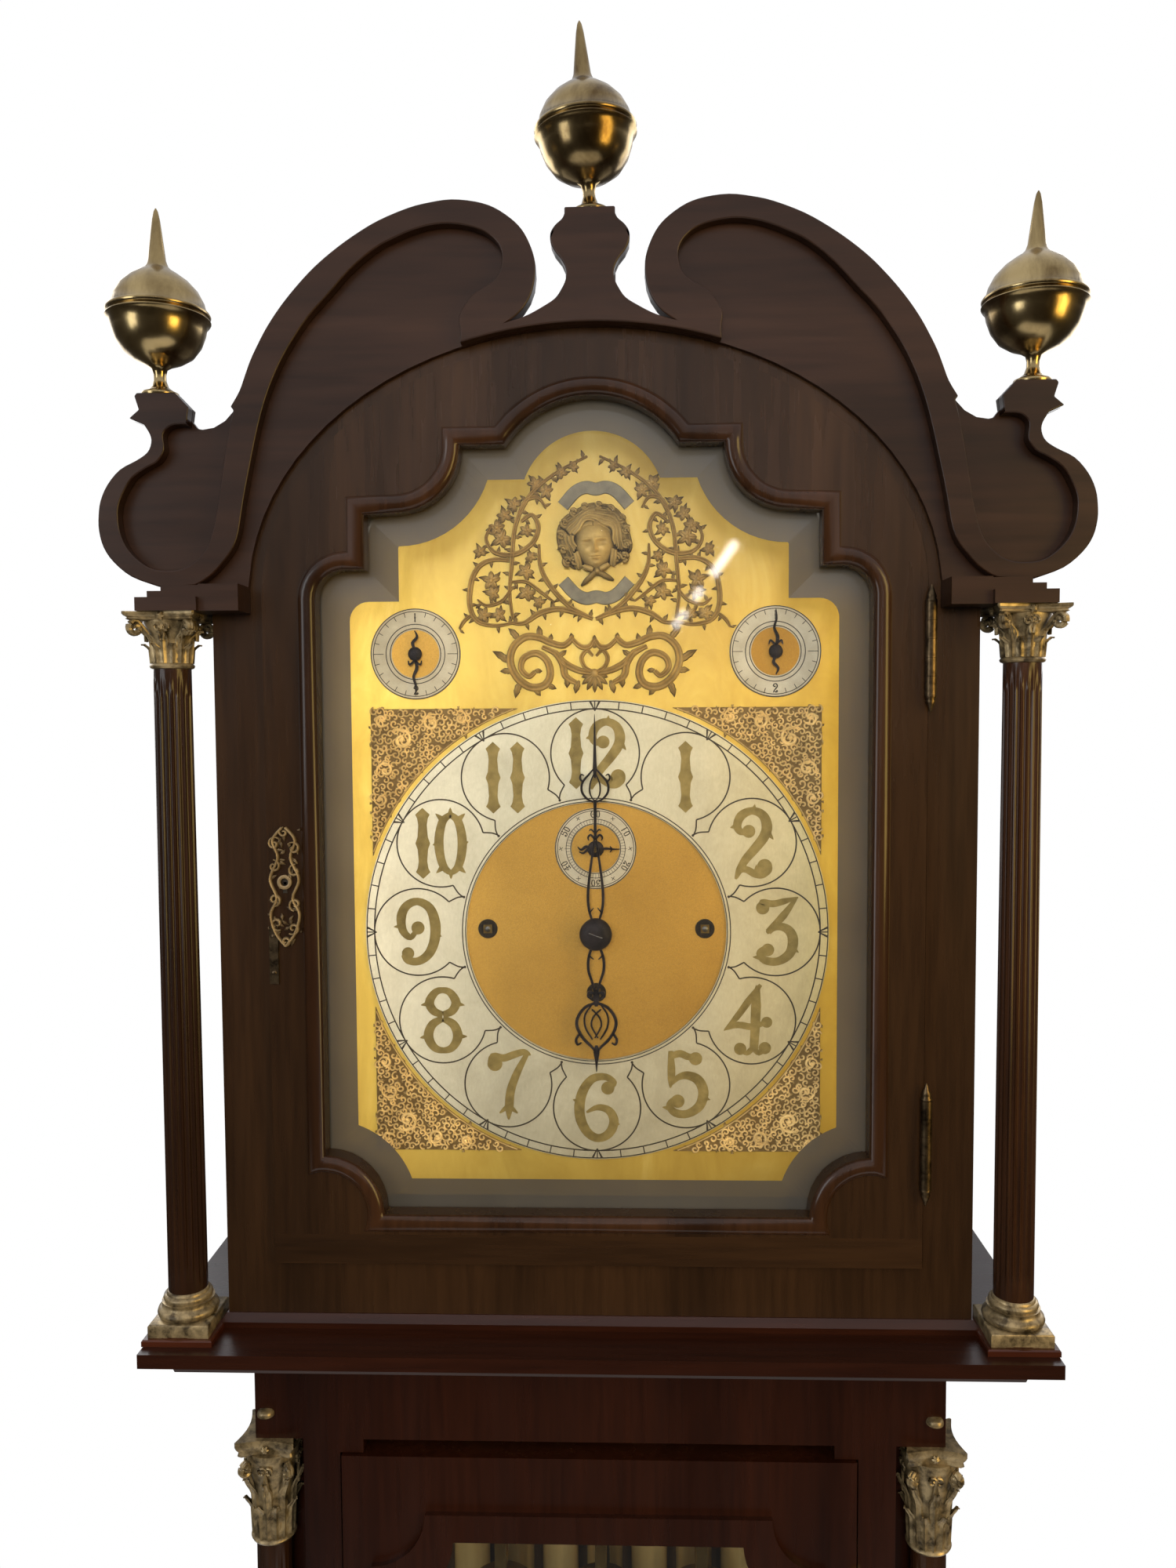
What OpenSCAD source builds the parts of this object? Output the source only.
// Longcase clock in its own frame: +Z up, the dial faces -Y, the floor is z = 0 and x = 0 is the centre line

/* [Base] */
// Width of the base box
base_w = 540; // [480:1:640]
// Depth of the base box with the backboard
base_d = 290; // [270:1:330]
// Height of the base box
base_h = 470; // [300:5:600]
// Thickness of the base and trunk boards
board_t = 18; // [12:1:22]
// Height of the skirting
skirt_h = 100; // [60:1:140]
// Thickness of the skirting
skirt_t = 10; // [6:1:16]
// Height of the cove between base and trunk
cove_h = 40; // [20:1:60]
// Depth of the sunk panel in the base front
panel_sink = 4; // [2:0.5:8]

/* [Trunk] */
// Width of the trunk
trunk_w = 442; // [420:1:456]
// Depth of the trunk with the backboard
trunk_d = 258; // [240:1:262]
// Height of the trunk
trunk_h = 1055; // [1000:5:1200]
// Thickness of the backboard
back_t = 12; // [8:1:16]
// Thickness of the trunk front frame
frame_t = 20; // [16:1:24]
// Height of the plain frieze over the trunk columns
frieze_h = 68; // [50:1:80]
// Height of the plain foot under the trunk columns
foot_h = 100; // [80:1:120]
// Width of the square recess for each corner column
nook = 31; // [29:0.5:34]
// Diameter of the corner column shafts
trunk_shaft_d = 24; // [18:0.5:25]
// Height of the trunk capitals
trunk_cap_h = 72; // [50:1:90]
// Width of the trunk capitals
trunk_cap_w = 46; // [40:1:50]
// Height of the trunk column bases
trunk_foot_cap_h = 44; // [30:1:60]
// Width of the trunk door
trunk_door_w = 330; // [300:1:336]
// Distance of the trunk door from the top and foot rails' outer ends
door_rail = 78; // [74:1:110]
// Width of the glazed opening in the trunk door
trunk_light_w = 256; // [200:1:270]
// Rail of the trunk door over and under its glass
light_rail = 54; // [40:1:80]
// Radius of the turned-in corners of the trunk glass
light_r = 35; // [20:1:45]

/* [Hood] */
// Width of the shelf that the hood stands on
shelf_w = 560; // [556:1:600]
// Depth of the shelf with the backboard
shelf_d = 298; // [296:1:320]
// Thickness of the shelf
shelf_t = 9; // [7:0.5:14]
// Height of the moulding under the shelf
crown_h = 16; // [12:1:40]
// Width of the hood
hood_w = 470; // [466:1:480]
// Depth of the hood with the backboard
hood_d = 262; // [258:1:270]
// Thickness of the hood front frame
hood_front_t = 20; // [16:1:24]
// Thickness of the hood sides
hood_side_t = 11; // [8:0.5:12]
// Thickness of the arched roof
roof_t = 7; // [5:0.5:9]
// Height of the dial centre over the shelf
dial_up = 246; // [240:1:260]
// Width of the hood door
door_w = 406; // [400:1:410]
// Thickness of the hood door
door_t = 26; // [24:1:30]
// Height of the frame rail under the hood door
sill_h = 43; // [36:1:50]
// Height where the door arch springs, over the dial centre
spring_up = 215; // [210:1:220]
// Rise of the door arch
arch_rise = 153; // [148:1:160]
// Gap all round a closed door
door_gap = 1.2; // [0.8:0.1:2]
// Width between the sides of the hood door's glass opening
light_w = 340; // [330:1:346]
// Depth of the glass opening's foot under the dial centre
light_low = 171; // [165:1:176]
// Radius of the turned-in foot corners of the glass opening
light_foot_r = 38; // [30:1:44]
// Radius of the glass opening's round shoulders
shoulder_r = 18; // [14:1:22]
// Height of the shoulders' centres over the dial centre
shoulder_up = 214; // [210:1:218]
// Distance from the centre line of the upright over each shoulder
step_x = 139; // [136:1:142]
// Radius of the turned-in curves beside the glass opening's head
cusp_r = 40; // [36:1:42]
// Height of those curves' centres over the dial centre
cusp_up = 306; // [302:1:308]
// Radius of the glass opening's round head
head_r = 63; // [60:1:66]
// Height of the head's centre over the dial centre
head_up = 272; // [268:1:276]
// Width of the bead round the glass opening
bead_w = 11; // [8:0.5:13]
// Distance of the hood column axes from the centre line
column_x = 259; // [256:1:264]
// Diameter of the hood column shafts
shaft_d = 24; // [18:0.5:26]
// Distance of the hood column axes behind the hood's front face
column_in = -5; // [-8:0.5:0]
// Height of the hood capitals
cap_h = 34; // [28:1:40]
// Width of the hood capitals
cap_w = 46; // [42:1:48]
// Height of the hood column bases
foot_cap_h = 24; // [18:1:30]
// Height of the wooden pads under the hood column bases
pad_h = 4; // [3:0.5:8]
// How far the hood slides forward
hood_travel = 260; // [200:5:280]

/* [Pediment] */
// Thickness of the pediment board
ped_t = 4; // [3:0.5:5]
// Thickness of the raised border on the pediment
border_t = 8; // [5:0.5:8.5]
// Height of the soffit strip over the hood columns
soffit_h = 16; // [12:1:20]
// Distance of the scroll heads' centres from the centre line
scroll_x = 84; // [80:1:90]
// Height of the scroll heads' centres over the dial centre
scroll_up = 404; // [398:1:410]
// Height of the swan necks' centres over the dial centre
neck_up = 325; // [320:1:330]
// Distance of the ears' centres from the centre line
ear_x = 260; // [256:1:264]
// Height of the ears' centres over the dial centre
ear_up = 270; // [264:1:276]
// Height of the side plinths' tops over the ears' centres
side_plinth = 68; // [64:1:72]
// Height of the centre plinth's top over the scroll heads' centres
centre_plinth = 38; // [36:1:44]
// Diameter of the finial balls
ball_d = 58; // [50:1:64]
// Diameter of the belt round each ball
belt_d = 62; // [60:1:68]
// Height of each finial from its plinth to its tip
finial_h = 113; // [105:1:120]
// Lean of the centre finial
centre_lean = 3; // [0:0.5:5]

/* [Dial] */
// Diameter of the chapter ring
ring_d = 305; // [290:1:310]
// Inner diameter of the chapter ring
ring_in_d = 171; // [150:1:180]
// Thickness of the rings
ring_t = 2; // [1:0.5:3]
// Thickness of the dial plate
plate_t = 3; // [2:0.5:4]
// Width of the dial plate beyond the chapter ring
dial_margin = 25.5; // [20:0.5:36]
// Height of the dial plate's arch over the chapter ring
arch_over = 192.5; // [185:0.5:196]
// Depth of the dial plate's front behind the hood's front face
dial_in = 44; // [40:1:50]
// Height of the seconds centre over the dial centre
seconds_up = 55; // [54:0.5:57]
// Diameter of the seconds ring
seconds_d = 57; // [50:1:60]
// Diameter of the two selector rings in the arch
selector_d = 60; // [50:1:64]
// How far the selector rings' outer edges lie inside the chapter ring's edge
selector_in = 5.5; // [0.5:0.5:10.5]
// Height of the selector rings' centres over the chapter ring
selector_over = 30.5; // [28:0.5:36]
// Length of the minute hand
minute_l = 142; // [130:1:146]
// Length of the hour hand
hour_l = 91; // [80:1:100]

/* [Movement] */
// Thickness of the movement plates
mplate_t = 4; // [3:0.5:5]
// Distance between the movement plates
mplate_gap = 66; // [60:1:80]
// Gap between dial plate and front movement plate
dial_gap = 16; // [14:1:20]
// Width of the movement plates
mplate_w = 250; // [240:2:270]
// Height of the movement plates over the dial centre
mplate_up = 108; // [104:1:116]
// Depth of the movement plates under the dial centre
mplate_down = 92; // [88:1:100]
// Diameter of the plain arbors
arbor_d = 4; // [3:0.2:5]
// Radial running clearance of an arbor in its bore
run_gap = 0.05; // [0.03:0.01:0.08]
// Module of the going train's great wheel
great_m = 0.78; // [0.74:0.01:0.8]
// Module of the centre wheel
centre_m = 0.9; // [0.88:0.01:0.94]
// Module of the third wheel
third_m = 0.75; // [0.74:0.01:0.8]
// Module of the cannon pinion and the minute wheel
cannon_m = 0.45; // [0.4:0.01:0.5]
// Diameter of the line drums
drum_d = 46; // [40:1:50]
// Length of the line drums
drum_l = 28; // [20:1:29]
// Distance of the side drums from the centre line
drum_x = 71.5; // [70:0.5:76]
// Diameter of the weight lines
line_d = 1.6; // [1:0.1:2.4]
// Diameter of the weights
weight_d = 52; // [40:1:54]
// Height of the weights
weight_h = 230; // [150:5:260]
// Length of the weight lines at rest, seat board to pulley axis
line_l = 330; // [200:5:400]
// How far the weights can fall
weight_fall = 600; // [400:10:700]
// Length of the pendulum, pivot to bob centre
pendulum_l = 994; // [900:1:1020]
// Diameter of the pendulum bob
bob_d = 200; // [150:1:230]
// Thickness of the pendulum bob
bob_t = 26; // [20:1:30]
// Swing of the pendulum to each side in degrees
swing = 2.5; // [1:0.5:3]

/* [Chime] */
// Diameter of the chime tubes
tube_d = 30; // [25:0.5:32]
// Distance between the chime tubes
tube_pitch = 37; // [36:0.5:40]
// Length of the longest chime tube
tube_l = 1400; // [1000:10:1440]
// Difference in length between neighbouring tubes
tube_step = 55; // [20:1:60]

/* [Hidden] */
$fn = 48;

// Vertical and depth places
back = 150;
inner_back = back - back_t;
base_front = back - base_d;
trunk_front = back - trunk_d;
hood_front_y = back - hood_d;
shelf_front = back - shelf_d;
trunk_top = base_h + trunk_h;
shelf_z = trunk_top + shelf_t;
dial_z = shelf_z + dial_up;
door_front = hood_front_y - 4;
soffit_up = spring_up - 9;
soffit_z = dial_z + soffit_up;
ring_top = ring_d / 2;
dial_half = ring_top + dial_margin;
selector_x = ring_top - selector_d / 2 - selector_in;
selector_up = ring_top + selector_over;
dial_y = hood_front_y + dial_in;
front_plate_y = dial_y + plate_t + dial_gap;
back_plate_y = front_plate_y + mplate_t + mplate_gap;
seat_z = dial_z - mplate_down;
seat_t = 20;
hinge_r = 3.5;
hinge_pin_d = 2.4;
leaf_t = 1;
touch = 0.2;
// A length past the clock's outside, for cuts
far = 2 * base_w;

// Colours
wood = [0.25, 0.12, 0.09];
dark_wood = [0.17, 0.09, 0.08];
brass = [0.83, 0.68, 0.34];
old_brass = [0.6, 0.46, 0.24];
silver = [0.83, 0.82, 0.77];
steel = [0.45, 0.46, 0.48];
black = [0.05, 0.05, 0.05];
glass = [0.75, 0.8, 0.8, 0.4];

// A cylinder along Y from y0 to y1
module rod(x, z, y0, y1, d, sides = 48) {
    translate([x, y0, z]) rotate([-90, 0, 0]) cylinder(d = d, h = y1 - y0, $fn = sides);
}

// A flat outline in x and z, made solid from y0 to y1
module slab(y0, y1) {
    translate([0, y1, 0]) rotate([90, 0, 0]) linear_extrude(y1 - y0) children();
}

// A box from one corner to the other
module box(a, b) {
    translate(a) cube(b - a);
}

// Both sides of the centre line
module pair() {
    children();
    mirror([1, 0, 0]) children();
}

// A moulding round the front and both sides, its outline in distance outward and height
module three_sides(w, y_front, outline) {
    reach = max([for (p = outline) p.x]);
    top = max([for (p = outline) p.y]);
    intersection() {
        translate([-w / 2 - reach, y_front, 0]) rotate([90, 0, 90]) linear_extrude(w + 2 * reach)
            polygon([for (p = outline) [-p.x, p.y]]);
        linear_extrude(top) polygon([[-w / 2, y_front], [w / 2, y_front],
            [w / 2 + reach, y_front - reach], [-w / 2 - reach, y_front - reach]]);
    }
    pair() intersection() {
        translate([w / 2, inner_back, 0]) rotate([90, 0, 0]) linear_extrude(inner_back - y_front + reach)
            polygon(outline);
        linear_extrude(top) polygon([[w / 2, inner_back], [w / 2 + reach, inner_back],
            [w / 2 + reach, y_front - reach], [w / 2, y_front]]);
    }
}

// Points of the upper half of an ellipse, right to left
function arch_points(half, rise, z0, n = 40) = [for (i = [0:n]) [half * cos(180 * i / n),
    z0 + rise * sin(180 * i / n)]];

// Points along an arc from angle a to angle b
function arc(cx, cz, r, a, b, n = 10) = [for (i = [0:n]) [cx + r * cos(a + (b - a) * i / n),
    cz + r * sin(a + (b - a) * i / n)]];

// The right half of an outline and its mirror image, as one loop
function both(right) = concat(right, [for (i = [len(right) - 1:-1:0]) [-right[i].x, right[i].y]]);

// A toothed wheel's outline with its first tooth at an angle
function gear(n, m, add, ded, share, turn) = [for (i = [0:n - 1], k = [0:5])
    let (h = share * 180 / n, r = n * m / 2, side = k < 3 ? -1 : 1, level = k < 3 ? k : 5 - k,
        rad = level == 0 ? r - ded * m : level == 1 ? r : r + add * m,
        a = turn + 360 * i / n + side * (level == 2 ? 0.3 * h : h))
    [rad * cos(a), rad * sin(a)]];
module wheel(x, z, n, m, turn, y0, y1) {
    translate([x, 0, z]) slab(y0, y1) polygon(gear(n, m, 1, 1, 0.42, turn));
}
module pinion(x, z, n, m, towards, y0, y1) {
    translate([x, 0, z]) slab(y0, y1) polygon(gear(n, m, 0.4, 1.35, 0.34, towards + 180 / n));
}

// A turned piece from radius and height pairs
module turned(points) {
    rotate_extrude($fn = 64) polygon(concat([[0, points[0].y]], points, [[0, points[len(points) - 1].y]]));
}

module skirting() {
    color(dark_wood) three_sides(base_w, base_front, [[0, 0], [skirt_t, 0], [skirt_t, skirt_h - 18],
        [skirt_t - 3, skirt_h - 12], [skirt_t - 5, skirt_h - 5], [2, skirt_h], [0, skirt_h]]);
}

module base_box() {
    color(wood) difference() {
        box([-base_w / 2, base_front, 0], [base_w / 2, inner_back, base_h]);
        box([-base_w / 2 + board_t, base_front + board_t, board_t],
            [base_w / 2 - board_t, inner_back + 1, base_h - board_t]);
        box([-trunk_w / 2 + board_t, trunk_front + frame_t, base_h - board_t - 1],
            [trunk_w / 2 - board_t, inner_back + 1, base_h + 1]);
        box([-base_w / 2 + 70, base_front - 1, skirt_h + 50],
            [base_w / 2 - 70, base_front + panel_sink, base_h - 55]);
    }
}

module case_mouldings() {
    cove_out = trunk_front - base_front;
    crown_out = trunk_front - shelf_front;
    color(wood) translate([0, 0, base_h]) three_sides(trunk_w, trunk_front,
        [[0, 0], [cove_out, 0], [cove_out, 8], [cove_out - 6, 12], [14, cove_h - 20],
        [8, cove_h - 8], [8, cove_h], [0, cove_h]]);
    color(wood) translate([0, 0, trunk_top - crown_h]) three_sides(trunk_w, trunk_front,
        [[0, 0], [4, 0], [6, crown_h * 0.3], [crown_out * 0.5, crown_h * 0.5],
            [crown_out * 0.7, crown_h * 0.6],
        [crown_out * 0.8, crown_h * 0.8], [crown_out - 3, crown_h * 0.8], [crown_out - 2, crown_h],
        [0, crown_h]]);
}

// Front edge of the side boards beside the corner columns
post_front = trunk_front + nook - 6;
post_back = post_front + 12;
cheek_front = front_plate_y - 12;
col_low = base_h + foot_h;
col_high = trunk_top - frieze_h;
module trunk_sides() {
    color(wood) pair() translate([trunk_w / 2 - board_t, 0, 0]) rotate([90, 0, 90]) linear_extrude(board_t)
        polygon([[trunk_front + frame_t, base_h], [inner_back, base_h], [inner_back, seat_z - seat_t],
        [cheek_front, seat_z - seat_t], [cheek_front, trunk_top], [trunk_front + frame_t, trunk_top],
        [trunk_front + frame_t, col_high], [post_back, col_high], [post_back, col_low],
        [trunk_front + frame_t, col_low]]);
}

trunk_door_low = base_h + door_rail;
trunk_door_high = trunk_top - door_rail;
module trunk_frame() {
    half = trunk_w / 2;
    color(wood) difference() {
        union() {
            box([-half, trunk_front, base_h], [half, trunk_front + frame_t, col_low]);
            box([-half, trunk_front, col_high], [half, trunk_front + frame_t, trunk_top]);
            pair() box([trunk_door_w / 2 - 14, trunk_front, col_low - 1],
                [half - nook, post_back, col_high + 1]);
            pair() box([half - nook - 1, post_front, col_low], [half, post_back, col_high]);
        }
        box([-trunk_door_w / 2 - door_gap, trunk_front - 1, trunk_door_low - door_gap],
            [trunk_door_w / 2 + door_gap, post_back + 1, trunk_door_high + door_gap]);
        trunk_leaf_pockets(trunk_door_w / 2, trunk_door_w / 2 + door_gap / 2 + leaf_t + 0.3);
    }
}

nook_x = trunk_w / 2 - 7;
nook_y = trunk_front + trunk_shaft_d / 2 + touch;
module trunk_columns() {
    color(wood) pair() translate([nook_x, nook_y, 0]) {
        difference() {
            translate([0, 0, col_low + trunk_foot_cap_h])
                cylinder(d = trunk_shaft_d, h = col_high - col_low - trunk_cap_h - trunk_foot_cap_h);
            for (k = [0:11]) rotate(k * 30) translate([trunk_shaft_d / 2 + 0.4, 0,
                col_low + trunk_foot_cap_h + 20])
                cylinder(d = 4, h = col_high - col_low - trunk_cap_h - trunk_foot_cap_h - 40, $fn = 16);
        }
    }
}

// Keeps a corner mount clear of the case corner that it is set in
module corner_cut() {
    difference() {
        children();
        box([-trunk_w, trunk_front - 60, 0], [trunk_w / 2 - nook + touch, back, trunk_top + 1]);
        box([0, post_front - touch, 0], [trunk_w, back, trunk_top + 1]);
    }
}
module trunk_column_mounts() {
    r = trunk_shaft_d / 2;
    w = trunk_cap_w / 2;
    color(brass) pair() {
        corner_cut() translate([nook_x, nook_y, col_high - trunk_cap_h]) union() {
            turned([[r + 3, 0], [r + 3, 5], [r, 6], [r + 2, 12], [w - 5, trunk_cap_h - 12],
                [w - 2, trunk_cap_h - 8]]);
            box([-w, -w, trunk_cap_h - 8], [w, w, trunk_cap_h]);
        }
        corner_cut() translate([nook_x, nook_y, col_low]) union() {
            box([-w + 3, -w + 3, 0], [w - 3, w - 3, 12]);
            translate([0, 0, 12]) turned([[w - 4, 0], [w - 4, 8], [r + 3, 12], [r + 2, 22], [r + 4, 26],
                [r + 1, trunk_foot_cap_h - 12]]);
        }
        translate([nook_x, trunk_front, trunk_top - frieze_h * 0.74]) rotate([90, 0, 0])
            cylinder(d = 11, h = 5);
    }
}

module backboard() {
    half = hood_w / 2 - hood_side_t - 2;
    color(dark_wood) slab(inner_back, back) polygon(concat([[-base_w / 2, 0], [base_w / 2, 0],
        [base_w / 2, base_h], [trunk_w / 2, base_h], [trunk_w / 2, shelf_z], [half, shelf_z]],
        arch_points(half, arch_rise - 10, dial_z + spring_up, 30), [[-half, shelf_z],
        [-trunk_w / 2, shelf_z], [-trunk_w / 2, base_h], [-base_w / 2, base_h]]));
}

// Where the weight lines run: under each drum, the pulley hangs between two falls
drum_places = [[-drum_x, 2], [0, -52 * great_m], [drum_x, 2]];
drum_back = front_plate_y + mplate_t + 4 + drum_l;
line_y = drum_back - drum_l / 2;
pulley_r = drum_d / 2 + line_d / 2 + 0.3;
module seat_board() {
    color(dark_wood) difference() {
        box([-trunk_w / 2, cheek_front, seat_z - seat_t], [trunk_w / 2, back_plate_y + mplate_t + 4,
            seat_z]);
        for (p = drum_places, s = [-1, 1]) translate([p.x + s * pulley_r, line_y, seat_z - seat_t - 1])
            box([-5, -drum_l / 2, 0], [5, drum_l / 2, seat_t + 2]);
    }
}

tube_y = inner_back - 33;
tube_top = dial_z + spring_up + 20;
tube_count = 9;
module tube_rail() {
    half = tube_pitch * 4 + 22;
    color(wood) union() {
        box([-half, tube_y - 10, tube_top + 14], [half, tube_y + 10, tube_top + 34]);
        pair() box([half - 24, tube_y - 10, tube_top + 14], [half, inner_back, tube_top + 34]);
    }
    color(brass) for (i = [0:tube_count - 1]) translate([(i - 4) * tube_pitch, tube_y, tube_top + 7])
        cylinder(d = 3, h = 7);
}

module chime_tubes() {
    color(brass) for (i = [0:tube_count - 1]) translate([(i - 4) * tube_pitch, tube_y, 0]) difference() {
        union() {
            translate([0, 0, tube_top - tube_l + tube_step * i]) cylinder(d = tube_d,
                h = tube_l - tube_step * i);
            translate([0, 0, tube_top - 0.5]) cylinder(d = 8, h = 7.5 - touch);
        }
        translate([0, 0, tube_top - tube_l + tube_step * i - 1])
            cylinder(d = tube_d - 3, h = tube_l - tube_step * i - 4);
    }
}

// One pair of hinges: the fixed leaf carries the pin and three knuckles, the door leaf two
module leaf(x, y_axis, y_leaf, y_end, z0, h, moving) {
    knuckle = h / 5;
    side = moving ? -1 : 1;
    x0 = moving ? -0.1 - leaf_t : 0.1;
    translate([x, 0, z0]) {
        box([x0, y_leaf, 0], [x0 + leaf_t, y_end, h]);
        for (k = moving ? [1, 3] : [0, 2, 4]) translate([0, 0, k * knuckle + 0.1]) difference() {
            union() {
                translate([0, y_axis, 0]) cylinder(r = hinge_r, h = knuckle - 0.2, $fn = 32);
                box([x0, y_axis, 0], [x0 + leaf_t, y_leaf + 0.2, knuckle - 0.2]);
            }
            if (moving) translate([0, y_axis, -1]) cylinder(d = hinge_pin_d + 2 * run_gap, h = knuckle + 2);
        }
        if (!moving) translate([0, y_axis, 0.1]) cylinder(d = hinge_pin_d, h = h - 0.2);
    }
}

hinge_h = 56;
hood_hinge_zs = [dial_z + 153, dial_z - 151];
trunk_hinge_zs = [trunk_door_high - 130, trunk_door_low + 74];
hood_axis_x = door_w / 2 + door_gap / 2;
hood_axis_y = door_front - hinge_r - touch;
trunk_door_front = trunk_front - 2;
trunk_axis_x = trunk_door_w / 2 + door_gap / 2;
trunk_axis_y = trunk_door_front - hinge_r - touch;

// Pockets that let the leaves into door edge and frame edge
module hood_leaf_pockets(x0, x1) {
    for (z = hood_hinge_zs) box([x0, door_front - 1, z - 0.3], [x1, hood_front_y + 15, z + hinge_h + 0.3]);
}
module trunk_leaf_pockets(x0, x1) {
    for (z = trunk_hinge_zs)
        box([x0, trunk_door_front - 1, z - 0.3], [x1, trunk_front + 15, z + hinge_h + 0.3]);
}
module trunk_hinge_leaves() {
    color(brass) for (z = trunk_hinge_zs)
        leaf(trunk_axis_x, trunk_axis_y, trunk_door_front + 0.1, trunk_front + 14.7, z, hinge_h, false);
}
module trunk_door_leaves() {
    color(brass) for (z = trunk_hinge_zs)
        leaf(trunk_axis_x, trunk_axis_y, trunk_door_front + 0.1, trunk_front + 14.7, z, hinge_h, true);
}
module hood_hinge_leaves() {
    color(brass) for (z = hood_hinge_zs)
        leaf(hood_axis_x, hood_axis_y, door_front + 0.1, hood_front_y + 14.7, z, hinge_h, false);
}
module hood_door_leaves() {
    color(brass) for (z = hood_hinge_zs)
        leaf(hood_axis_x, hood_axis_y, door_front + 0.1, hood_front_y + 14.7, z, hinge_h, true);
}

// Outline of the trunk glass opening, grown by g
module trunk_light(g) {
    half = trunk_light_w / 2 + g;
    low = trunk_door_low + light_rail - g;
    high = trunk_door_high - light_rail + g;
    polygon(both(concat([[0, low]], arc(half, low, light_r, 180, 90), arc(half, high, light_r, 270, 180),
        [[0, high]])));
}
trunk_glass_y = trunk_front + 6;
glass_t = 4;
module trunk_door() {
    color(wood) difference() {
        union() {
            box([-trunk_door_w / 2, trunk_door_front, trunk_door_low],
                [trunk_door_w / 2, trunk_front + frame_t - 2, trunk_door_high]);
            slab(trunk_door_front - 4, trunk_door_front + 1) difference() {
                trunk_light(18);
                trunk_light(0);
            }
        }
        slab(trunk_door_front - 5, trunk_front + frame_t) trunk_light(0);
        slab(trunk_glass_y - touch, trunk_front + frame_t) trunk_light(8);
        trunk_leaf_pockets(trunk_axis_x - leaf_t - 0.3, trunk_door_w / 2 + 1);
    }
}
module trunk_glass() {
    color(glass) slab(trunk_glass_y, trunk_glass_y + glass_t) trunk_light(8 - touch);
}

module hood_shelf() {
    inner = trunk_w / 2 - board_t;
    color(wood) difference() {
        union() {
            box([-shelf_w / 2, shelf_front, trunk_top + touch], [shelf_w / 2, inner_back, shelf_z]);
            three_sides(hood_w - 4, hood_front_y + 2, [[0, shelf_z - 1], [5, shelf_z - 1], [6, shelf_z + 4],
                [3, shelf_z + 9], [0, shelf_z + 9]]);
        }
        box([-inner - board_t - 1, trunk_front + frame_t, trunk_top - 1],
            [inner + board_t + 1, back, shelf_z + 12]);
        box([-hood_w / 2, hood_front_y, shelf_z], [hood_w / 2, back, shelf_z + 12]);
    }
}

module hood_sides() {
    color(wood) pair() box([hood_w / 2 - hood_side_t, hood_front_y + hood_front_t, shelf_z],
        [hood_w / 2, inner_back, dial_z + spring_up]);
}

// Outline of the hood door, grown by g
module door_outline(g) {
    polygon(concat([[-door_w / 2 - g, shelf_z + sill_h - g], [door_w / 2 + g, shelf_z + sill_h - g]],
        arch_points(door_w / 2 + g, arch_rise + g, dial_z + spring_up)));
}
roof_half = hood_w / 2;
roof_rise = arch_rise + 11;
module hood_front() {
    color(wood) difference() {
        slab(hood_front_y, hood_front_y + hood_front_t) polygon(concat([[-hood_w / 2, shelf_z],
            [hood_w / 2, shelf_z]], arch_points(roof_half, roof_rise, dial_z + spring_up)));
        slab(hood_front_y - 1, hood_front_y + hood_front_t + 1) door_outline(door_gap);
        hood_leaf_pockets(door_w / 2, hood_axis_x + leaf_t + 0.3);
    }
}

module hood_roof() {
    color(dark_wood) slab(hood_front_y + hood_front_t, inner_back) polygon(concat(
        arch_points(roof_half, roof_rise, dial_z + spring_up),
        [for (i = [40:-1:0]) arch_points(roof_half - roof_t, roof_rise - roof_t, dial_z + spring_up)[i]]));
}

// The pediment, right half from the soffit up: ear, side plinth, hollow, swan neck, scroll head, centre plinth
side_plinth_top = ear_up + side_plinth;
centre_plinth_top = scroll_up + centre_plinth;
plinth_half = 15;
function moved(x, z, points) = [for (p = points) [x + p.x, z + p.y]];
ped_half = concat(
    moved(ear_x, ear_up, [[4, -48], [20, -42], [31, -33], [37, -24], [39.5, -14], [39.5, -5], [38, 4],
        [33.5, 13.5],
        [25.5, 22.5], [15, 28], [8.5, 32.5], [6, 38], [6.5, 43], [10, 49]]),
    moved(ear_x, side_plinth_top, [[19, -15], [13, -10], [15.5, -2], [14, 0], [-9, 0], [-17.5, -9],
        [-16.5, -15.5],
        [-20, -20], [-23, -20.6], [-30, -19.5], [-37, -15.5], [-43, -9]]),
    moved(scroll_x, neck_up, [[127.5, 13], [124, 22], [120.5, 31], [116, 40], [111, 49], [105, 58],
        [98, 67], [90, 76],
        [81, 85], [70, 94], [57, 103], [42, 111.5], [24, 118.5], [11, 121.5], [-2, 123]]),
    moved(scroll_x, scroll_up, [[-16, 42.5], [-27, 39], [-37, 32.5], [-43.5, 26], [-48, 18], [-51, 9],
        [-51.5, 1],
        [-50.5, -7], [-48, -14], [-44, -20], [-40, -24], [-35, -27.5]]),
    moved(plinth_half, centre_plinth_top, [[28, -64], [21.5, -61.5], [13, -57], [6, -52.5], [2, -47],
        [-0.5, -41.5],
        [-0.7, -36], [2, -30], [6, -25], [8.3, -20], [8.3, -14.5], [5.5, -10], [1.5, -6.5], [0, -3.5],
            [0, 0]]));
// Everything under the pediment board: the door arch with a margin, and the level of the soffit strips
module under_pediment(margin, level) {
    half = door_w / 2 + margin;
    polygon(concat([[-far, 0], [far, 0], [far, level], [half, level]],
        [for (i = [2:38]) arch_points(half, arch_rise + margin, spring_up)[i]],
        [[-half, level], [-far, level]]));
}
board_margin = 8;
module ped_outline() {
    translate([0, dial_z]) difference() {
        polygon(both(concat([[0, soffit_up], [ear_x, soffit_up + soffit_h]], ped_half)));
        under_pediment(board_margin, soffit_up + soffit_h);
    }
}
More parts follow.
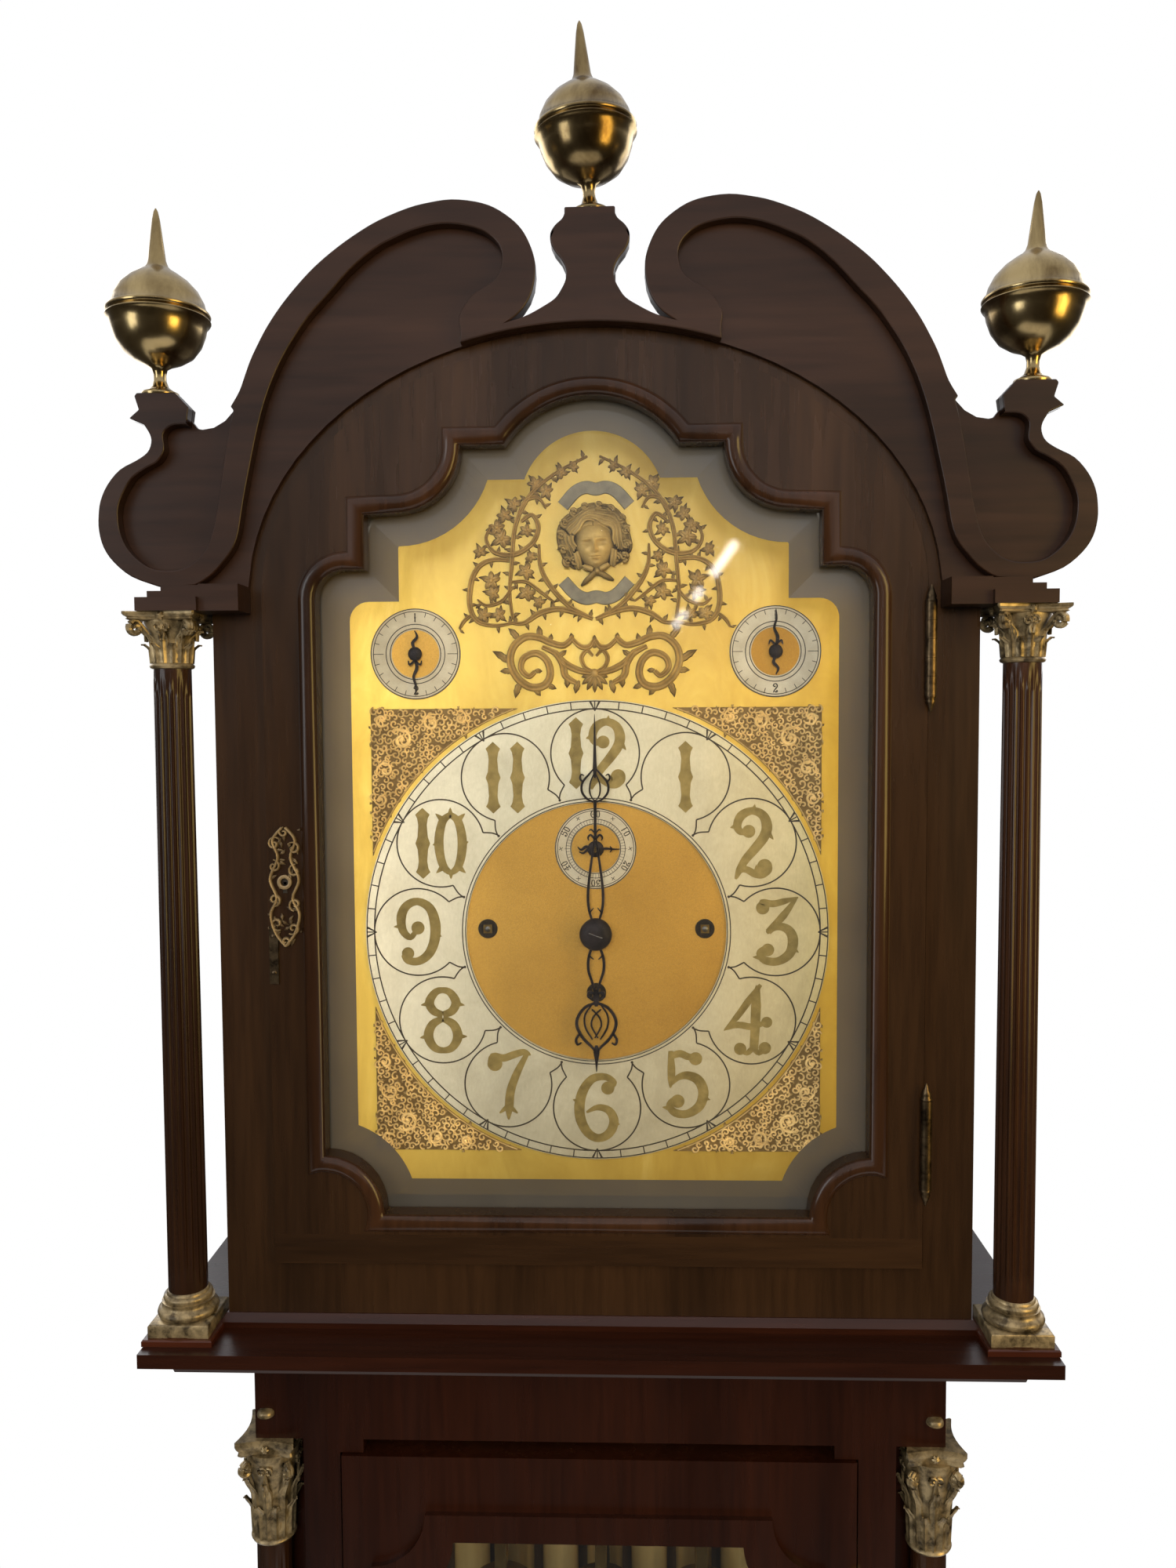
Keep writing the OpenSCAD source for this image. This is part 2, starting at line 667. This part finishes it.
// The sunk fields: a comma that follows the swan neck down to the soffit, and the ear's, open at the hollow
comma = moved(scroll_x, neck_up, [[-5, 27], [-6.5, 45.5], [-5.5, 54], [-9, 61], [-14.5, 68],
    [-22, 72.5], [-28, 77],
    [-31, 83], [-31.7, 90.5], [-29.5, 96.5], [-25.5, 101], [-20, 104.5], [-13, 107], [-5, 108.5], [3, 109],
    [13, 107.8], [23, 105], [34, 100.5], [44.5, 95], [59.5, 83], [73.5, 68], [84.5, 56.5], [94, 43.5],
        [102, 30.5],
    [109, 15.5], [114.5, -0.5], [119, -18], [122, -31.5], [125, -45], [127.5, -58], [130, -71.5],
        [133.5, -80.5],
    [139, -88], [146, -95.5], [154, -101], [163, -104.5], [154, -107], [116, -107]]);
ear_field = moved(ear_x, ear_up, [[-43, 62], [-44.7, 57], [-40, 37], [-35.5, 10.5], [-31.5, -11],
    [-26.5, -25],
    [-18, -34], [-11, -37.5], [-4, -38.5], [4, -38], [11, -35.5], [18, -30], [23.5, -23], [26.5, -15],
        [27.5, -7],
    [27, 0.5], [24, 8], [18.5, 17], [10, 23], [2.5, 27], [-2, 34], [-1.5, 43], [-6, 48], [-13, 49],
        [-17, 48.5],
    [-20, 56]]);
module ped_fields() {
    translate([0, dial_z]) pair() {
        polygon(comma);
        polygon(ear_field);
    }
}
module pediment_board() {
    color(dark_wood) slab(hood_front_y - ped_t, hood_front_y) ped_outline();
}
module pediment_border() {
    color(wood) slab(hood_front_y - ped_t - border_t, hood_front_y - ped_t) difference() {
        ped_outline();
        ped_fields();
    }
    pair() color(wood) box([ear_x - 8, hood_front_y, dial_z + side_plinth_top - 17],
        [ear_x + 8, hood_front_y + 12, dial_z + side_plinth_top]);
    color(wood) box([-plinth_half, hood_front_y, dial_z + arch_rise + spring_up + 12],
        [plinth_half, hood_front_y + 12, dial_z + centre_plinth_top]);
}

// Strip over the columns, returned along the hood sides
column_y = hood_front_y + column_in;
module pediment_soffit() {
    front = column_y - cap_w / 2;
    out = column_x + cap_w / 2 - 10;
    color(wood) translate([0, 0, soffit_z]) pair() {
        box([hood_w / 2, front, 0], [out, hood_front_y + 30, soffit_h / 2]);
        box([hood_w / 2, front + 4, soffit_h / 2], [out - 6, hood_front_y + 30, soffit_h * 0.75]);
        box([hood_w / 2, front + 10, soffit_h * 0.75], [out - 12, hood_front_y + 30, soffit_h]);
        box([hood_w / 2, hood_front_y + 30, 0], [hood_w / 2 + 14, inner_back, soffit_h]);
        box([door_w / 2 + board_margin, front + 4, 0], [hood_w / 2, hood_front_y, soffit_h]);
    }
}

// A ball finial standing on z = 0
module finial() {
    stem = 20;
    r = ball_d / 2;
    turned(concat([[8, 0], [8, 2], [4.5, 4], [4.5, stem - 3], [6, stem]],
        [for (a = [-78:12:-6]) [r * cos(a), stem + r + r * sin(a)]],
        [[belt_d / 2, stem + r - 2], [belt_d / 2, stem + r + 2]],
        [for (a = [6:12:78]) [r * cos(a), stem + r + r * sin(a)]],
        [[5.5, stem + 2 * r + 1], [4.5, stem + 2 * r + 5], [0.6, finial_h]]));
}
module finials() {
    color(old_brass) {
        pair() translate([ear_x + 4, hood_front_y, dial_z + side_plinth_top]) finial();
        translate([0, hood_front_y, dial_z + centre_plinth_top]) difference() {
            rotate([0, -centre_lean, 0]) translate([0, 0, -0.5]) finial();
            box([-plinth_half, -plinth_half, -plinth_half], [plinth_half, plinth_half, 0]);
        }
    }
}

column_low = shelf_z + pad_h + foot_cap_h;
column_high = soffit_z - cap_h;
module hood_columns() {
    color(wood) pair() translate([column_x, column_y, 0]) {
        box([-19, -19, shelf_z], [19, 19, shelf_z + pad_h]);
        difference() {
            translate([0, 0, column_low]) cylinder(d = shaft_d, h = column_high - column_low);
            for (k = [0:11]) rotate(k * 30) translate([shaft_d / 2 + 0.4, 0, column_low + 8])
                cylinder(d = 4, h = column_high - column_low - 16, $fn = 16);
        }
    }
}
module hood_column_mounts() {
    r = shaft_d / 2;
    w = cap_w / 2;
    color(brass) pair() translate([column_x, column_y, 0]) difference() {
        union() {
            translate([0, 0, column_high]) turned([[r + 1.5, 0], [r + 1.5, 2], [r, 3], [r + 2, 8],
                [w - 6, cap_h - 8],
                [w - 3, cap_h - 5]]);
            box([-w + 2, -w + 2, column_high + cap_h - 5], [w - 2, w - 2, column_high + cap_h]);
            translate([0, 0, shelf_z + pad_h]) {
                box([-19, -19, 0], [19, 19, 6]);
                translate([0, 0, 6]) turned([[17, 0], [17, 4], [14, 6], [14, 10], [15.5, 11],
                    [15.5, 14], [r + 0.5, 15],
                    [r + 0.5, foot_cap_h - 6]]);
            }
        }
        box([-column_x, -column_in - touch, 0], [hood_w / 2 - column_x + touch, 60, dial_z * 2]);
    }
}

// Outline of the glass opening in the hood door, grown by g: shaped foot corners, lobes and arched head
cusp_x = 120;
function light_half(g) = let (r = light_foot_r - g) concat(
    [[0, -light_low - g]],
    arc(light_w / 2 + 1, -light_low, r, 180 + asin(g / r), acos((g - 1) / r), 8),
    arc(light_w / 2 - shoulder_r, shoulder_up, shoulder_r + g, 0, 90, 6),
    [[step_x + g, shoulder_up + shoulder_r + g], [step_x + g, cusp_up - cusp_r + g - 1]],
    arc(cusp_x, cusp_up, cusp_r - g, 270, 180, 8), [[cusp_x - cusp_r + g, cusp_up + g]],
    arc(0, head_up, head_r + g, asin((cusp_up - head_up + g) / (head_r + g)), 90, 10));
module light_outline(g) {
    translate([0, dial_z]) polygon(both(light_half(g)));
}
hood_glass_y = door_front + 12;
module hood_door() {
    color(wood) difference() {
        slab(door_front, door_front + door_t) door_outline(0);
        slab(door_front - 1, door_front + door_t + 1) light_outline(0);
        slab(hood_glass_y - touch, door_front + door_t + 1) light_outline(8);
        hood_leaf_pockets(hood_axis_x - leaf_t - 0.3, door_w / 2 + 1);
    }
}
module hood_glass() {
    color(glass) slab(hood_glass_y, hood_glass_y + glass_t) light_outline(8 - touch);
}
module hood_door_bead() {
    color(wood) slab(door_front - 5, door_front) difference() {
        light_outline(bead_w);
        light_outline(0.5);
    }
}
module hood_escutcheon() {
    color(old_brass) translate([-192.3, 0, dial_z + 38]) slab(door_front - 2, door_front) difference() {
        polygon([[0, -38], [6, -28], [10, -12], [7, 0], [10, 14], [6, 28], [0, 38], [-6, 28],
            [-10, 14], [-7, 0],
            [-10, -12], [-6, -28]]);
        translate([0, 2]) circle(d = 5);
        translate([-1.2, -8]) square([2.4, 9]);
    }
}

// Dial: one plate with an arched head that fills the door light
arch_half = 150;
arch_rise_dial = 105;
arch_low = ring_top + arch_over - arch_rise_dial;
module dial_plate() {
    color(brass) difference() {
        slab(dial_y, dial_y + plate_t) translate([0, dial_z]) polygon(concat([[-dial_half, -dial_half],
            [dial_half, -dial_half], [dial_half, arch_low]], arch_points(arch_half, arch_rise_dial,
                arch_low),
            [[-dial_half, arch_low]]));
        rod(0, dial_z, dial_y - 1, dial_y + plate_t + 1, 16);
        rod(0, dial_z + seconds_up, dial_y - 1, dial_y + plate_t + 1, 8);
        for (p = drum_places) rod(p.x, dial_z + p.y, dial_y - 1, dial_y + plate_t + 1, 13);
        for (s = [-1, 1]) rod(s * selector_x, dial_z + selector_up, dial_y - 1, dial_y + plate_t + 1,
            arbor_d + 2 * run_gap);
    }
}
module chapter_ring() {
    color(silver) difference() {
        rod(0, dial_z, dial_y - ring_t, dial_y, ring_d, 96);
        rod(0, dial_z, dial_y - ring_t - 1, dial_y + 1, ring_in_d, 96);
    }
}
module small_rings() {
    t = 1;
    color(silver) {
        difference() {
            rod(0, dial_z + seconds_up, dial_y - t, dial_y, seconds_d - 4);
            rod(0, dial_z + seconds_up, dial_y - t - 1, dial_y + 1, 12);
        }
        for (s = [-1, 1]) difference() {
            rod(s * selector_x, dial_z + selector_up, dial_y - t, dial_y, selector_d);
            rod(s * selector_x, dial_z + selector_up, dial_y - t - 1, dial_y + 1, 30);
        }
    }
}

// A quarter ornament that keeps clear of the chapter ring
module corner_spandrels() {
    color(old_brass) slab(dial_y - 2.5, dial_y) translate([0, dial_z]) for (s = [-1, 1], t = [-1, 1])
        scale([s, t]) difference() {
            translate([ring_top - 110.5, ring_top - 110.5]) square([107, 107]);
            circle(r = ring_top + 2, $fn = 96);
        }
}
module arch_ornaments() {
    mask_up = 99.5;
    mask_r = 20;
    mask_out = 14;
    ribbon = [[0, 35], [12, 31], [25, 16], [mask_r, 10], [0, 22]];
    color(old_brass) slab(dial_y - 3, dial_y) translate([0, dial_z + ring_top]) {
        pair() difference() {
            polygon([[2, 151.5], [35, 138.5], [60, 116.5], [75, 85.5], [81, 46.5], [30, 47.5], [27.5, 59.5],
                [30, 87.5], [28, 101.5], [27.5, 119.5], [14, 135], [2, 138.5]]);
            translate([selector_x, selector_over]) circle(d = selector_d + 2);
        }
        polygon(both([[0, 2.5], [30, 4.5], [62, 19.5], [56, 35.5], [30, 41.5], [0, 35.5]]));
    }
    color(silver) slab(dial_y - 2, dial_y) translate([0, dial_z + ring_top + mask_up]) {
        polygon(both(ribbon));
        translate([0, -5]) mirror([0, 1]) polygon(both(ribbon));
    }
    color(old_brass) translate([0, dial_y, dial_z + ring_top + mask_up]) intersection() {
        sphere(r = mask_r, $fn = 48);
        box([-mask_r, -mask_out, -mask_r], [mask_r, 0, mask_r]);
    }
}

// Movement plates with their bores, pillars, dial feet and the cock that the pendulum hangs from
third_at = let (a = 36 * centre_m, b = 34 * third_m,
    z = (a * a - b * b + seconds_up * seconds_up) / (2 * seconds_up)) [-sqrt(a * a - z * z), z];
pallet_up = seconds_up + 31;
minute_wheel_r = 48 * cannon_m;
minute_at = [minute_wheel_r * cos(25), minute_wheel_r * sin(25)];
pend_y = back_plate_y + mplate_t + 20;
module plate(y0, centre_d) {
    difference() {
        box([-mplate_w / 2, y0, dial_z - mplate_down], [mplate_w / 2, y0 + mplate_t, dial_z + mplate_up]);
        for (p = drum_places) rod(p.x, dial_z + p.y, y0 - 1, y0 + mplate_t + 1, arbor_d + 4 + 2 * run_gap);
        rod(0, dial_z, y0 - 1, y0 + mplate_t + 1, centre_d + 2 * run_gap);
        for (p = [third_at, [0, seconds_up], [0, pallet_up]])
            rod(p.x, dial_z + p.y, y0 - 1, y0 + mplate_t + 1, arbor_d + 2 * run_gap);
    }
}
module movement_frame() {
    color(brass) {
        plate(front_plate_y, arbor_d + 1);
        plate(back_plate_y, arbor_d);
        for (x = [-1, 1], z = [-mplate_down + 10, mplate_up - 10])
            rod(x * (mplate_w / 2 - 10), dial_z + z, front_plate_y + mplate_t, back_plate_y, 12);
        for (x = [-1, 1], z = [-mplate_down + 24, mplate_up - 24])
            rod(x * (mplate_w / 2 - 14), dial_z + z, dial_y + plate_t, front_plate_y, 7);
        rod(minute_at.x, dial_z + minute_at.y, dial_y + plate_t + 0.5, front_plate_y, arbor_d - 1);
        translate([0, 0, dial_z + pallet_up]) difference() {
            union() {
                box([-12, back_plate_y + mplate_t, 8], [12, pend_y + 9, 16]);
                box([-12, pend_y - 9, -8], [12, pend_y - 5, 9]);
                box([-12, pend_y + 5, -8], [12, pend_y + 9, 9]);
            }
            rod(0, 0, pend_y - 10, pend_y + 10, arbor_d + 2 * run_gap);
        }
    }
}

// Going train, each arbor one turning solid
train_y = drum_back + 1;
module centre_arbor() {
    color(steel) {
        rod(0, dial_z, dial_y - 13, train_y - 1, arbor_d + 1);
        rod(0, dial_z, train_y - 2, back_plate_y + mplate_t + 2, arbor_d);
        pinion(0, dial_z, 8, great_m, -90, train_y - 2, train_y + 6);
    }
    color(brass) {
        wheel(0, dial_z, 64, centre_m, atan2(third_at.y, third_at.x), train_y + 12, train_y + 14.5);
        pinion(0, dial_z, 24, cannon_m, 25, dial_y + plate_t + 6, dial_y + plate_t + 9);
    }
}
module minute_wheel() {
    motion_y = dial_y + plate_t;
    color(brass) translate([minute_at.x, 0, dial_z + minute_at.y]) difference() {
        union() {
            pinion(0, 0, 18, cannon_m * 48 / 45, 205, motion_y + 1.5, motion_y + 4.5);
            rod(0, 0, motion_y + 4, motion_y + 7, 6);
            wheel(0, 0, 72, cannon_m, 205, motion_y + 6.5, motion_y + 8.5);
        }
        rod(0, 0, dial_y, front_plate_y, arbor_d - 1 + 2 * run_gap);
    }
}
module hour_wheel() {
    motion_y = dial_y + plate_t;
    color(brass) difference() {
        union() {
            wheel(0, dial_z, 72, cannon_m * 48 / 45, 25, motion_y + 2, motion_y + 4);
            rod(0, dial_z, dial_y - 9, motion_y + 4.6, arbor_d + 5);
        }
        rod(0, dial_z, dial_y - 12, motion_y + 5, arbor_d + 1 + 2 * run_gap);
    }
}
// A hand's outline along +Z from its boss, with one swelling and one ring
module hand(y0, t, length, boss, bore, stem, ring_at, ring_r) {
    difference() {
        slab(y0, y0 + t) difference() {
            union() {
                circle(r = boss);
                polygon([[-stem, 0], [stem, 0], [stem * 0.8, length * 0.6], [0.4, length], [-0.4, length],
                    [-stem * 0.8, length * 0.6]]);
                translate([0, ring_at]) circle(r = ring_r);
            }
            translate([0, ring_at]) circle(r = ring_r * 0.6);
        }
        rod(0, 0, y0 - 1, y0 + t + 1, bore);
    }
}
module minute_hand() {
    color(black) {
        translate([0, 0, dial_z]) hand(dial_y - 11.5, 1.2, minute_l, 8, arbor_d + 1, 2.4, 95, 8);
        difference() {
            rod(0, dial_z, dial_y - 13, dial_y - 11.5, 13);
            rod(0, dial_z, dial_y - 14, dial_y - 11, arbor_d + 1);
        }
    }
}
module hour_hand() {
    color(black) translate([0, 0, dial_z]) rotate([0, 180, 0])
        hand(dial_y - 8.5, 1.2, hour_l, 10, arbor_d + 5 + run_gap, 3, 58, 13);
}
module great_wheel() {
    p = drum_places[1];
    color(brass) difference() {
        wheel(p.x, dial_z + p.y, 96, great_m, 90, train_y, train_y + 3);
        rod(p.x, dial_z + p.y, train_y - 1, train_y + 5, arbor_d + 4 + 2 * run_gap);
    }
}
module third_wheel() {
    to_escape = atan2(seconds_up - third_at.y, -third_at.x);
    color(steel) {
        rod(third_at.x, dial_z + third_at.y, front_plate_y, back_plate_y + mplate_t, arbor_d);
        pinion(third_at.x, dial_z + third_at.y, 8, centre_m, atan2(-third_at.y, -third_at.x),
            train_y + 11, train_y + 15.5);
    }
    color(brass) wheel(third_at.x, dial_z + third_at.y, 60, third_m, to_escape, front_plate_y + 20,
        front_plate_y + 22);
}
escape_y = train_y + 19;
escape_r = 17;
module escape_wheel() {
    back_turn = atan2(third_at.y - seconds_up, third_at.x);
    color(steel) {
        rod(0, dial_z + seconds_up, dial_y - 6, back_plate_y + mplate_t, arbor_d);
        pinion(0, dial_z + seconds_up, 8, third_m, back_turn, front_plate_y + 18, front_plate_y + 24);
    }
    color(brass) translate([0, 0, dial_z + seconds_up]) slab(escape_y, escape_y + 1.5)
        polygon([for (i = [0:29], k = [0:2]) let (a = 12 * i + [0, 1, 5][k], r = [escape_r - 3, escape_r,
            escape_r - 3][k]) [r * cos(a), r * sin(a)]]);
}
module seconds_hand() {
    color(black) translate([0, 0, dial_z + seconds_up]) rotate([0, 90, 0])
        hand(dial_y - 4.5, 0.8, 17, 4, arbor_d, 0.9, 8, 1.6);
}

// Anchor, arbor and crutch turn on the same line as the pendulum's suspension
module pallets() {
    color(steel) {
        rod(0, dial_z + pallet_up, front_plate_y, back_plate_y + mplate_t + 6, arbor_d);
        translate([0, 0, dial_z + pallet_up]) slab(escape_y, escape_y + 1.5) union() {
            circle(r = 5);
            for (s = [-1, 1]) polygon([[s * 2, 3], [s * 17, -8], [s * 18, -22], [s * 15.5, -18],
                [s * 14, -9],
                [s * 2, -4]]);
        }
        translate([0, 0, dial_z + pallet_up]) {
            slab(back_plate_y + mplate_t + 3, back_plate_y + mplate_t + 6) polygon([[-4, 4], [4, 4],
                [3, -60],
                [4, -96], [-4, -96], [-3, -60]]);
            rod(0, -90, back_plate_y + mplate_t + 5, pend_y + 6, 3);
        }
    }
}
module pendulum_rod() {
    top = dial_z + pallet_up;
    color(wood) difference() {
        translate([0, pend_y, top - pendulum_l - bob_d / 2 - 30]) cylinder(d = 10,
            h = pendulum_l + bob_d / 2 + 30 - 24);
        rod(0, top - 90, pend_y - 10, pend_y + 10, 3 + 2 * 0.1);
    }
    color(steel) box([-4, pend_y - 0.4, top - 25], [4, pend_y + 0.4, top - 4]);
    color(brass) {
        box([-5, pend_y - 4.7, top - 5], [5, pend_y + 4.7, top + 5]);
        rod(0, top, pend_y - 9, pend_y + 9, arbor_d);
    }
}
module pendulum_bob() {
    top = dial_z + pallet_up;
    color(brass) {
        difference() {
            rod(0, top - pendulum_l, pend_y - bob_t / 2, pend_y + bob_t / 2, bob_d, 96);
            translate([0, pend_y, top - pendulum_l - bob_d]) cylinder(d = 10 + 2 * 0.1, h = 2 * bob_d);
        }
        difference() {
            translate([0, pend_y, top - pendulum_l - bob_d / 2 - 14]) cylinder(d = 22, h = 10);
            translate([0, pend_y, top - pendulum_l - bob_d / 2 - 15]) cylinder(d = 10 + 2 * 0.1, h = 12);
        }
    }
}
module selector_hand(s, length, turn) {
    color(black) {
        translate([s * selector_x, 0, dial_z + selector_up]) rotate([0, turn, 0])
            hand(dial_y - 4, 0.8, length, 4.5, arbor_d, 1, 10, 1.6);
        rod(s * selector_x, dial_z + selector_up, dial_y - 4.8, dial_y + plate_t + 5, arbor_d);
        rod(s * selector_x, dial_z + selector_up, dial_y + plate_t + 1, dial_y + plate_t + 3, arbor_d + 4);
    }
}
module strike_selector_hand() {
    selector_hand(-1, 27, 180);
}
module chime_selector_hand() {
    selector_hand(1, 27, 0);
}

// A drum on its winding arbor; the side drums carry their own great wheels
module drum(i) {
    p = drum_places[i];
    y0 = drum_back - drum_l;
    color(brass) {
        rod(p.x, dial_z + p.y, y0, drum_back - 2, drum_d);
        rod(p.x, dial_z + p.y, y0, y0 + 1.5, drum_d + 6);
        rod(p.x, dial_z + p.y, drum_back - 2, drum_back - 0.5, drum_d + 6);
    }
    color(steel) {
        rod(p.x, dial_z + p.y, front_plate_y, back_plate_y + mplate_t, arbor_d + 4);
        translate([p.x, 0, dial_z + p.y]) box([-2.8, dial_y - 2, -2.8], [2.8, front_plate_y + 1, 2.8]);
    }
    if (i != 1) color(brass) wheel(p.x, dial_z + p.y, 96, great_m, 90, train_y, train_y + 3);
    if (i != 1) color(brass) rod(p.x, dial_z + p.y, drum_back - 1, train_y + 1, 14);
}
module strike_drum() {
    drum(0);
}
module going_drum() {
    drum(1);
}
module chime_drum() {
    drum(2);
}

// A weight with its pulley and stirrup; two falls of line come down beside the pulley
module weight(i) {
    p = drum_places[i];
    groove = pulley_r - line_d / 2 - touch;
    hang = -pulley_r - 18;
    translate([p.x, line_y, seat_z - line_l]) {
        color(brass) rotate([90, 0, 0]) rotate_extrude($fn = 64) polygon([[0, -5], [groove + 2, -5],
            [groove + 2, -3], [groove, -line_d], [groove, line_d], [groove + 2, 3], [groove + 2, 5],
                [0, 5]]);
        color(steel) {
            for (s = [-1, 1]) box([-4, s * 7.5 - 1.5, hang], [4, s * 7.5 + 1.5, 6]);
            box([-4, -9, hang - 4], [4, 9, hang + 1]);
            rod(0, 0, -9, 9, 3);
            translate([0, 0, hang - 18]) cylinder(d = 5, h = 15);
        }
        color(brass) translate([0, 0, hang - 16 - weight_h]) turned([[weight_d / 2 - 2, 0],
            [weight_d / 2, 2],
            [weight_d / 2, weight_h - 4], [weight_d / 2 - 4, weight_h]]);
    }
}
module strike_weight() {
    weight(0);
}
module going_weight() {
    weight(1);
}
module chime_weight() {
    weight(2);
}
module line(i) {
    p = drum_places[i];
    color([0.55, 0.45, 0.3]) for (s = [-1, 1]) translate([p.x + s * pulley_r, line_y, seat_z - line_l])
        cylinder(d = line_d, h = s < 0 ? line_l - seat_t : line_l + mplate_down + p.y, $fn = 24);
}
module strike_line() {
    line(0);
}
module going_line() {
    line(1);
}
module chime_line() {
    line(2);
}

skirting();
base_box();
case_mouldings();
trunk_sides();
trunk_frame();
trunk_columns();
trunk_column_mounts();
backboard();
seat_board();
tube_rail();
chime_tubes();
trunk_hinge_leaves();
trunk_door();
trunk_glass();
trunk_door_leaves();
hood_shelf();
hood_sides();
hood_front();
hood_roof();
pediment_board();
pediment_border();
pediment_soffit();
finials();
hood_columns();
hood_column_mounts();
hood_hinge_leaves();
hood_door();
hood_glass();
hood_door_bead();
hood_door_leaves();
hood_escutcheon();
dial_plate();
chapter_ring();
small_rings();
corner_spandrels();
arch_ornaments();
movement_frame();
centre_arbor();
minute_hand();
minute_wheel();
hour_wheel();
hour_hand();
great_wheel();
third_wheel();
escape_wheel();
seconds_hand();
pallets();
pendulum_rod();
pendulum_bob();
strike_selector_hand();
chime_selector_hand();
strike_drum();
going_drum();
chime_drum();
strike_weight();
going_weight();
chime_weight();
strike_line();
going_line();
chime_line();
